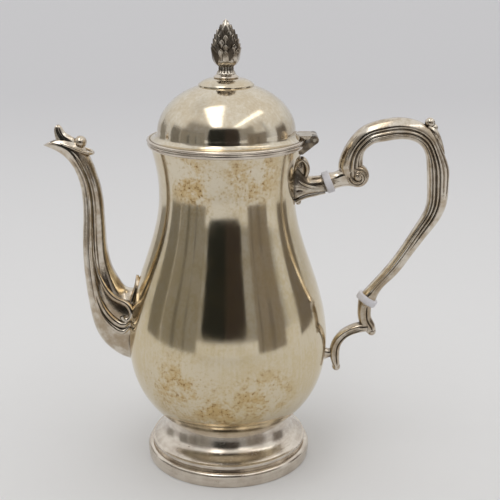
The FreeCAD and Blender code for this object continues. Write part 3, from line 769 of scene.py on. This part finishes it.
handle = {
    "start": (60.2, 170.5), "samples": 210, "around": 128,
    "sections": [
        (4.6, 2.4, 18.0, 3.0, 5.4), (3.7, 10.0, 17.6, 10.6, 5.8), (5.8, 16.8, 17.9, 15.5, 6.0),
        (10.4, 24.9, 20.4, 19.4, 6.2), (17.6, 31.6, 24.0, 21.8, 6.3), (26.7, 34.9, 28.2, 22.6, 6.4),
        (37.8, 36.4, 37.8, 24.0, 6.5), (48.6, 34.3, 45.4, 23.1, 6.5), (56.8, 28.5, 50.4, 20.1, 6.6),
        (62.2, 19.0, 53.4, 14.0, 6.6), (66.7, 7.5, 54.4, 6.0, 6.6), (67.2, -2.0, 55.0, -3.0, 6.5),
        (66.7, -12.5, 55.3, -10.3, 6.2), (63.1, -22.5, 54.0, -17.9, 5.6), (57.3, -31.2, 50.0, -25.5, 5.0),
        (47.6, -45.2, 41.6, -39.7, 4.6), (38.2, -58.0, 32.3, -53.0, 4.5), (30.4, -66.6, 24.4, -62.5, 4.6),
        (27.7, -72.9, 19.9, -67.7, 4.7)],
    "neck": [(-1.95, 4.82, 1.95, -4.82, 5.2), (1.6, 5.4, 4.4, -3.9, 4.5), (5.2, 7.2, 8.4, -3.2, 4.7),
             (10.5, 8.6, 12.0, -3.4, 5.0)],
    # flutes along both sides: place across, width, height
    "flutes": [(0.2, 0.2, 0.25), (0.475, 0.035, -0.9), (0.54, 0.035, 0.4), (0.6, 0.03, -0.8),
               (0.66, 0.035, 0.4), (0.725, 0.035, -0.8)],
    "volute": (14.7, 3.2),
    "voluteLine": [(0, 6.3), (1.9, 6.2), (2.9, 5.2), (4.3, 5.3), (5.6, 4.6), (6.4, 3.2), (6.6, 1.4)],
    # ribs rolled up on the volute's faces: start in radians and reach of each, then what they share
    "ribs": [(2.6, 6.2), (2.0, 4.7)], "ribTurn": 5.6, "ribEnd": 0.42, "ribSeat": 4.3, "ribSlope": 0.30,
    "ribRadii": (0.5, 0.95, 0.95, 0.85), "boss": (4.8, 2.0, 0.9),
    "thumb": (54.8, 33.5, 2.9), "thumbCollar": (57.2, 30.6, 2.3),
    "leaf": [(54.3, 33.4, 51.0, 25.5, 3.0), (58.9, 30.2, 54.4, 24.0, 4.3), (61.8, 24.9, 57.2, 21.4, 3.8),
             (63.4, 19.6, 60.0, 18.2, 2.2), (64.3, 15.6, 62.6, 15.4, 0.4)],
}


def handleRelief(share, across):
    grow = fade(share, 0.0, 0.05) * (1 - 0.75 * fade(share, 0.62, 0.8)) * (1 - fade(share, 0.96, 1.0))
    return grow * sum(height * bell(across, place, width) for place, width, height in handle["flutes"])


def makeHandle():
    size = handle
    bm = bmesh.new()
    addLoft(bm, moved(size["sections"], size["start"]), size["samples"], size["around"], handleRelief)
    addLoft(bm, moved(size["neck"], size["start"]), 24, 56, leafRelief)
    startX, startZ = size["start"]
    x, z = startX + size["volute"][0], startZ + size["volute"][1]
    side = smoothLine(size["voluteLine"], 24)
    outline = [(reach, width) for reach, width in side] + [(reach, -width) for reach, width in side[::-1]]
    rows = [[Vector((x + reach * math.cos(turn), width, z + reach * math.sin(turn)))
             for turn in np.linspace(0, 2 * math.pi, 49)] for reach, width in outline]
    addGrid(bm, rows)
    rim = size["voluteLine"][-1][0]
    seat, radius, flat = size["boss"]
    for way in (1, -1):
        for start, reach in size["ribs"]:
            turns = np.linspace(start, start + size["ribTurn"], 16)
            reaches = np.linspace(reach, reach * size["ribEnd"], 16)
            depths = way * (size["ribSeat"] + size["ribSlope"] * (rim - reaches))
            path = [(x + r * math.cos(turn), depth, z + r * math.sin(turn))
                    for turn, r, depth in zip(turns, reaches, depths)]
            addBead(bm, path, size["ribRadii"], 64, 12)
        addBall(bm, (x, way * seat, z), radius, flat)
    for a, b, radius in (size["thumb"], size["thumbCollar"]):
        addBall(bm, (startX + a, 0, startZ + b), radius)
    addLoft(bm, moved(size["leaf"], size["start"]), 24, 40, leafRelief)
    finishCast(bm, "scrollHandle", "pot", ["handle"], grime=0.03)


upperSocket = {
    "root": (39.0, 168.0),
    "horn": [(-2.0, 13.0, -2.5, -10.0, 6.4), (2.5, 10.5, 2.0, -8.2, 6.4), (6.5, 6.2, 6.5, -6.1, 5.6),
             (11.0, 5.2, 11.6, -5.1, 5.2), (15.25, 5.72, 19.15, -3.92, 5.2)],
    "leaf": [(6.2, 4.6, -2.0, 4.0, 3.6), (7.0, 9.6, -2.0, 9.6, 3.6), (5.4, 14.2, -2.0, 14.2, 3.2),
             (3.0, 17.0, -2.0, 17.0, 2.6), (3.1, 19.3, -2.0, 19.6, 1.6)],
    # curling beads: x and z along each, its radii and its distance from the middle
    "curls": [
        ([(5.2, 4.2), (7.0, 8.4), (6.4, 12.8), (3.8, 15.0), (1.8, 13.2), (2.8, 10.8)],
         (0.9, 1.3, 1.3, 1.2, 1.0, 1.2), 2.6),
        ([(-1.5, 9.6), (0.6, 15.0), (1.6, 18.4), (3.0, 19.4), (3.4, 18.0)], (0.8, 1.0, 0.9, 0.8, 0.9), 1.4),
        ([(0.6, -9.8), (5.0, -7.2), (11.0, -5.6), (17.6, -4.2)], (1.0, 0.8, 0.7, 0.5), 2.4),
        ([(1.0, 4.4), (6.0, 1.0), (11.4, -0.4), (16.6, -0.6)], (0.8, 0.8, 0.7, 0.4), 5.0)],
    "drop": (2.2, -10.0, 1.7),
}


lowerSocket = {
    "root": (58.6, 63.5),
    "stem": [(19.16, 35.66, 27.04, 30.54, 4.7), (18.9, 28.4, 27.0, 28.0, 4.2), (19.7, 21.4, 27.4, 23.2, 4.0),
             (22.4, 16.2, 29.3, 19.4, 3.8), (25.2, 13.2, 30.2, 16.0, 3.0)],
    "scroll": [(24.6, 20.6, 25.0, 14.6, 4.0), (16.4, 18.8, 16.9, 12.8, 4.2), (9.6, 15.0, 12.6, 10.2, 4.2),
               (5.0, 9.6, 9.9, 6.6, 4.2), (3.0, 4.0, 9.0, 3.4, 4.0), (3.2, -2.4, 8.8, -2.8, 3.8),
               (4.9, -8.0, 9.2, -8.8, 3.0)],
    "pad": [(-1.0, 4.6, -1.0, -4.4, 2.8), (2.4, 3.2, 2.4, -2.4, 2.5), (5.6, 4.2, 5.6, -2.0, 2.8)],
    "balls": [(27.7, 14.6, 2.7), (7.05, -8.4, 2.5)],
}


def armRelief(share, across):                       # a hollow flank between two raised edges
    return fade(share, 0.0, 0.2) * (1 - fade(share, 0.85, 1.0)) * (
        0.25 * bell(across, 0.26, 0.08) - 0.5 * bell(across, 0.46, 0.12) - 0.75 * bell(across, 0.60, 0.035)
        + 0.35 * bell(across, 0.69, 0.05))


def hornRelief(share, across):                      # the hollow runs out before the round end
    return armRelief(share, across) * (1 - fade(share, 0.25, 0.5))


def makeSockets():
    size = upperSocket
    a, b = size["root"]
    bm = bmesh.new()
    addLoft(bm, moved(size["horn"], size["root"]), 60, 72, hornRelief, True)
    addLoft(bm, moved(size["leaf"], size["root"]), 40, 48, leafRelief, True)
    for path, radii, depth in size["curls"]:
        for side in (1, -1):
            addBead(bm, [keepOff((a + x, side * depth, b + z)) for x, z in path], radii, 44, 12)
    x, z, radius = size["drop"]
    addBall(bm, keepOff((a + x, 0, b + z), -0.6), radius, 1.6)
    finishCast(bm, "upperSocket", "pot", ["upper_handle_socket"], grime=0.08)
    size = lowerSocket
    a, b = size["root"]
    bm = bmesh.new()
    addLoft(bm, moved(size["stem"], size["root"]), 50, 64, armRelief)
    addLoft(bm, moved(size["scroll"], size["root"]), 80, 64, armRelief)
    addLoft(bm, moved(size["pad"], size["root"]), 12, 32, plain, True)
    for x, z, radius in size["balls"]:
        addBall(bm, (a + x, 0, b + z), radius, 1.25)
    finishCast(bm, "lowerSocket", "pot", ["lower_handle_socket"], grime=0.16)


finial = {
    "bud": [(4.2, 235.6), (6.3, 237.5), (7.1, 240.6), (7.1, 244.0), (6.3, 248.4), (4.6, 253.2), (2.6, 257.6),
            (0.2, 261.2)],
    "stem": [(1.2, 231.3), (5.4, 231.3), (5.3, 231.9), (4.5, 233.2), (4.2, 234.6), (4.3, 235.6)],
    "flutes": 16, "fluteDepth": 0.28, "fluteFades": (231.6, 232.8, 236.0, 238.0), "around": 96,
    "leafWall": 0.75, "leafSink": 0.1,
    # rows of leaves: base height, length, leaves, half angle, lift at the tip, turn
    "rows": [(235.6, 9.4, 7, 27, 1.2, 0.0), (239.4, 6.4, 9, 20, 1.55, 0.5), (242.3, 5.8, 9, 20, 1.6, 0.0),
             (245.0, 5.6, 9, 20, 1.6, 0.5), (247.7, 5.4, 8, 22, 1.5, 0.0), (250.3, 5.4, 7, 24, 1.35, 0.5),
             (252.9, 5.2, 6, 27, 1.15, 0.0), (255.4, 5.0, 4, 38, 0.7, 0.5)],
}


def addLeaf(bm, budLine, base, length, angle, half, lift):
    sink = finial["leafSink"]
    rows = []
    for along in np.linspace(0, 1, 9):
        wide = half * (0.82 + 0.5 * along) * (1 - along ** 2.6)
        height = base + length * along
        core = np.interp(height, budLine[:, 1], budLine[:, 0])
        line = []
        for across in np.linspace(-1, 1, 9):
            ridge = 0.5 * bell(across, 0, 0.2) - 0.75 * across * across
            reach = core - sink + (lift + sink) * along ** 1.25 + ridge * (1 - 0.6 * along ** 2)
            turn = math.radians(angle + wide * across)
            line.append(Vector((reach * math.cos(turn), reach * math.sin(turn), height)))
        rows.append(line)
    inner = [[point.copy() for point in line] for line in rows]
    for line in inner:
        for point in line:
            shrink = 1 - finial["leafWall"] / math.hypot(point.x, point.y)
            point.x, point.y = point.x * shrink, point.y * shrink
    addGrid(bm, [list(a) + list(b[::-1]) + [a[0]] for a, b in zip(rows, inner)])


def makeFinial():
    size = finial
    bm = bmesh.new()
    budLine = smoothLine(size["bud"], 40)
    outline = list(smoothLine(size["stem"], 24)) + list(budLine[1:])
    around = size["around"]
    low, full, thin, gone = size["fluteFades"]
    rows = []
    for reach, height in outline:
        depth = size["fluteDepth"] * fade(height, low, full) * (1 - fade(height, thin, gone))
        row = []
        for turn in np.linspace(0, 2 * math.pi, around + 1):
            out = reach - depth * (1 - math.cos(size["flutes"] * turn))
            row.append(Vector((out * math.cos(turn), out * math.sin(turn), height)))
        rows.append(row)
    middles = [[Vector((0, 0, row[0].z))] * (around + 1) for row in (rows[0], rows[-1])]
    addGrid(bm, middles[:1] + rows + middles[1:])
    for base, length, leaves, half, lift, turn in size["rows"]:
        for i in range(leaves):
            addLeaf(bm, budLine, base, length, 360 * (i + turn) / leaves - 90, half, lift)
    finishCast(bm, "finialBud", "lid", ["finial"], 50, 0.26)


collar = {"reach": 7.1, "bulge": 0.55, "low": 229.1, "band": 1.3, "top": (5.4, 231.3), "hole": 1.54,
          "step": (0.3, 0.2), "soften": 0.2, "around": 128}


def makeCollar():
    size = collar
    edge, low, band, hole = size["reach"] - size["bulge"], size["low"], size["band"], size["hole"]
    topR, topZ = size["top"]
    stepR, stepZ = size["step"]
    bow = arcThrough((edge, low), (size["reach"], low + band / 2), (edge, low + band), 8)
    outline = [(hole, low)] + bow + [(topR + stepR, topZ - stepZ), (topR, topZ), (hole, topZ), (hole, low)]
    bm = turned(eased(outline, size["soften"]), size["around"])
    finishPiece(bm, "finialCollar", wornSilver, "lid", ["finial_collar"])


# each one's seats on the socket and on the handle, then the disc, its edge and the tenon's radius and length
insulators = {"upper": ((56.2, 168.9), (60.2, 170.5)), "lower": ((81.7, 96.6), (84.0, 100.2)),
              "reach": 6.4, "round": 0.9, "tenon": (1.8, 3.4), "around": 96}


def makeInsulators():
    reach, tenonR, tenon = insulators["reach"], *insulators["tenon"]
    for name in ("upper", "lower"):
        (x, z), (endX, endZ) = insulators[name]
        thick = math.hypot(endX - x, endZ - z)
        outline = [(0, -tenon), (tenonR, -tenon), (tenonR, 0), (reach, 0), (reach, thick), (tenonR, thick)]
        outline = eased(outline + [(tenonR, thick + tenon), (0, thick + tenon)], insulators["round"], 6)
        bm = turned(outline, insulators["around"])
        lean = math.atan2(endX - x, endZ - z)
        bmesh.ops.rotate(bm, cent=(0, 0, 0), matrix=Matrix.Rotation(lean, 3, "Y"), verts=bm.verts)
        bmesh.ops.translate(bm, vec=(x * mm, 0, z * mm), verts=bm.verts)
        finishPiece(bm, name + "Insulator", whiteInsulator, "pot", [name + "_insulator"])


makeSpoutScroll(makeSpout())
makeHandle()
makeSockets()
makeFinial()
makeCollar()
makeInsulators()
print("cast pieces made")


# finishes for the nodes that keep their own shape
slotLook = {"silver_plate": silverPlate, "cast_silver": castSilver, "white_insulator": whiteInsulator,
            "fastener_metal": fastenerMetal}
nodeSlots = {part["node"]: part["material_slot"] for part in frame["record"]["subparts"]}
for nodeName, node in frame["nodes"].items():
    node.data.materials.clear()
    # the hinge bracket takes the painted-shade silver: its dark stands in for the shadow under the hinge
    # plate
    look = paintedShadeSilver if nodeName == "hinge_bracket" else slotLook[nodeSlots[nodeName]]
    node.data.materials.append(look)
print("finishes given to the frame's own nodes")


studio = {
    # the floor's far tone and its fade are painted shade: the colour darkens away from the pot, for light
    # falling off towards the back
    "floor": (0.75, 0.75, 0.753, 1), "floorFarShade": (0.56, 0.56, 0.58, 1), "floorShadeFade": (-0.35, 1.7),
    "reach": 30.0, "camera": (0.0133, -0.5616, 0.2988), "tilt": 73.16, "lens": 72.0, "sensor": 36.0,
    # dark opening behind the camera: left, right, low, high, distance
    "slot": (-0.335, 0.255, 0.105, 0.62, 0.62), "slotRound": 0.07, "slotBrown": (-0.04, 0.01),
    "slotTones": ((0.014, 0.016, 0.013, 1), (0.048, 0.036, 0.029, 1)),
    # the tent's greys from level to overhead
    "rise": [(0.0, (0.62, 0.62, 0.63, 1)), (0.18, (0.66, 0.66, 0.66, 1)), (0.42, (0.82, 0.82, 0.82, 1)),
             (0.70, (0.88, 0.88, 0.88, 1)), (1.0, (0.66, 0.655, 0.65, 1))],
    # panels of the tent: bearings from the camera's side, heights as sines, softness, colour, share
    "panels": [(-68, 68, -1.0, 0.55, 0.25, (0.30, 0.29, 0.28, 1), 0.9),
               (52, 70, 0.30, 0.66, 0.05, (0.9, 0.89, 0.87, 1), 0.6)],
    # standing screens round the pot: bearings in degrees, height and distance in metres, colour
    "screens": [
        (-78, -33, 0.52, 0.66, (0.36, 0.345, 0.31, 1)), (-100, -79, 0.50, 0.66, (0.26, 0.25, 0.225, 1)),
        (-49, -47.4, 0.34, 0.64, (0.07, 0.066, 0.06, 1)), (-64, -60, 0.36, 0.64, (0.13, 0.125, 0.11, 1)),
        (34, 68, 0.46, 0.66, (0.31, 0.27, 0.23, 1)), (38.6, 40.0, 0.36, 0.64, (0.07, 0.06, 0.05, 1)),
        (50, 55, 0.32, 0.64, (0.19, 0.16, 0.135, 1)), (90, 116, 0.48, 0.70, (0.19, 0.16, 0.135, 1)),
        (-136, -116, 0.40, 0.80, (0.40, 0.385, 0.35, 1))],
    "screenFade": 0.16, "screenGrain": (0.5, 0.48, 0.45, 1), "screenSteps": 6,
    # light strips in the tent's roof: across at the front end, drift, half width, softness, both ends, colour
    "stripFront": 1.1,
    "strips": [(0.22, 0.10, 0.55, 0.30, 1.15, -0.7, (0.88, 0.87, 0.855, 1)),
               (-0.36, 0.11, 0.12, 0.14, 1.12, 0.0, (3.0, 2.96, 2.92, 1)),
               (0.44, 0.27, 0.05, 0.09, 1.14, -0.2, (2.2, 2.16, 2.1, 1))],
}


def makeFloor():
    bm = bmesh.new()
    bmesh.ops.create_grid(bm, x_segments=8, y_segments=8, size=studio["reach"])
    material, tree, shader, wire, where = newMaterial("paleFloor")
    away = wire.part(where, "Y")
    grain = wire.noise(where, 60, 3)
    # painted shade: the floor's colour darkens along Y away from the pot, standing in for light falling off;
    # the grain leans to the same dark tone
    colour = wire.mix(away.ramp(*studio["floorShadeFade"]), studio["floor"], studio["floorFarShade"])
    colour = wire.mix(grain * 0.06, colour, studio["floorFarShade"])
    plug(tree, shader, Base_Color=colour, Roughness=0.85)
    floor = newObject(bm, "floor", material)


def makeSlot():
    left, right, low, high, distance = studio["slot"]
    bm = bmesh.new()
    spots = ((left, low), (right, low), (right, high), (left, high))
    corners = [bm.verts.new((x, -distance, z)) for x, z in spots]
    bm.faces.new(corners)
    bmesh.ops.bevel(bm, geom=corners, offset=studio["slotRound"], affect="VERTICES", segments=8, profile=0.5,
                    material=-1)
    material, tree, shader, wire, where = newMaterial("darkSlot")
    across = wire.part(where, "X")
    brown = across.ramp(*studio["slotBrown"])
    plug(tree, shader, Base_Color=wire.mix(brown, *studio["slotTones"]), Roughness=1.0)
    card = newObject(bm, "darkSlot", material)
    card.visible_camera = False
    card.visible_diffuse = False


def makeScreens():
    steps = studio["screenSteps"]
    for i, (left, right, high, distance, tone) in enumerate(studio["screens"]):
        bm = bmesh.new()
        turns = [math.radians(left + (right - left) * step / steps) for step in range(steps + 1)]
        verts = [bm.verts.new((distance * math.sin(turn), -distance * math.cos(turn), 0)) for turn in turns]
        edges = [bm.edges.new(pair) for pair in zip(verts, verts[1:])]
        made = bmesh.ops.extrude_edge_only(bm, edges=edges)["geom"]
        top = [item for item in made if isinstance(item, bmesh.types.BMVert)]
        bmesh.ops.translate(bm, vec=(0, 0, high), verts=top)
        name = "screen%d" % i
        material, tree, shader, wire, where = newMaterial(name)
        grain = wire.noise(where, 5, 2)
        level = wire.part(where, "Z")
        plug(tree, shader, Base_Color=wire.mix(grain * 0.3, tone, studio["screenGrain"]), Roughness=1.0,
             Alpha=level.ramp(high, high - studio["screenFade"]))
        screen = newObject(bm, name, material)
        screen.visible_camera = False
        screen.visible_shadow = False
        screen.visible_diffuse = False


def makeWorld():
    world = bpy.data.worlds.new("tent")
    bpy.context.scene.world = world
    world.use_nodes = True
    tree = world.node_tree
    wire = Wire(tree)
    where = wire.node("ShaderNodeTexCoord", None, None, "Generated")
    side = wire.part(where, "X")
    away = wire.part(where, "Y")
    up = wire.part(where, "Z")
    colour = wire.node("ShaderNodeValToRGB", {"stops": studio["rise"]}, {"Fac": up})
    bearing = wire.maths("ARCTAN2", side, away * -1.0)
    for left, right, low, high, soft, tone, share in studio["panels"]:
        left, right = math.radians(left), math.radians(right)
        turn = bearing.ramp(left - soft, left) * bearing.ramp(right + soft, right)
        level = up.ramp(low - soft, low) * up.ramp(high + soft, high)
        colour = wire.mix(turn * level * share, colour, tone)
    roof = wire.maths("MAXIMUM", up, 0.05)          # keeps the division away from level
    across, ahead = side / roof, away / roof * -1.0
    for front, drift, half, soft, near, far, tone in studio["strips"]:
        aside = wire.maths("ABSOLUTE", across - front - (studio["stripFront"] - ahead) * drift)
        length = ahead.ramp(near + soft, near) * ahead.ramp(far - soft, far)
        colour = wire.mix(aside.ramp(half + soft, half) * length, colour, tone)
    background = tree.nodes["Background"]
    tree.links.new(colour.socket, background.inputs["Color"])


def makeCamera():
    camera = bpy.data.cameras.new("camera")
    camera.lens = studio["lens"]
    camera.sensor_width = studio["sensor"]
    rig = bpy.data.objects.new("camera", camera)
    rig.location = studio["camera"]
    rig.rotation_euler = (math.radians(studio["tilt"]), 0, 0)
    bpy.context.scene.collection.objects.link(rig)
    bpy.context.scene.camera = rig


makeFloor()
makeSlot()
makeScreens()
makeWorld()
makeCamera()
bpy.context.scene.view_settings.view_transform = "Standard"
print("studio made")
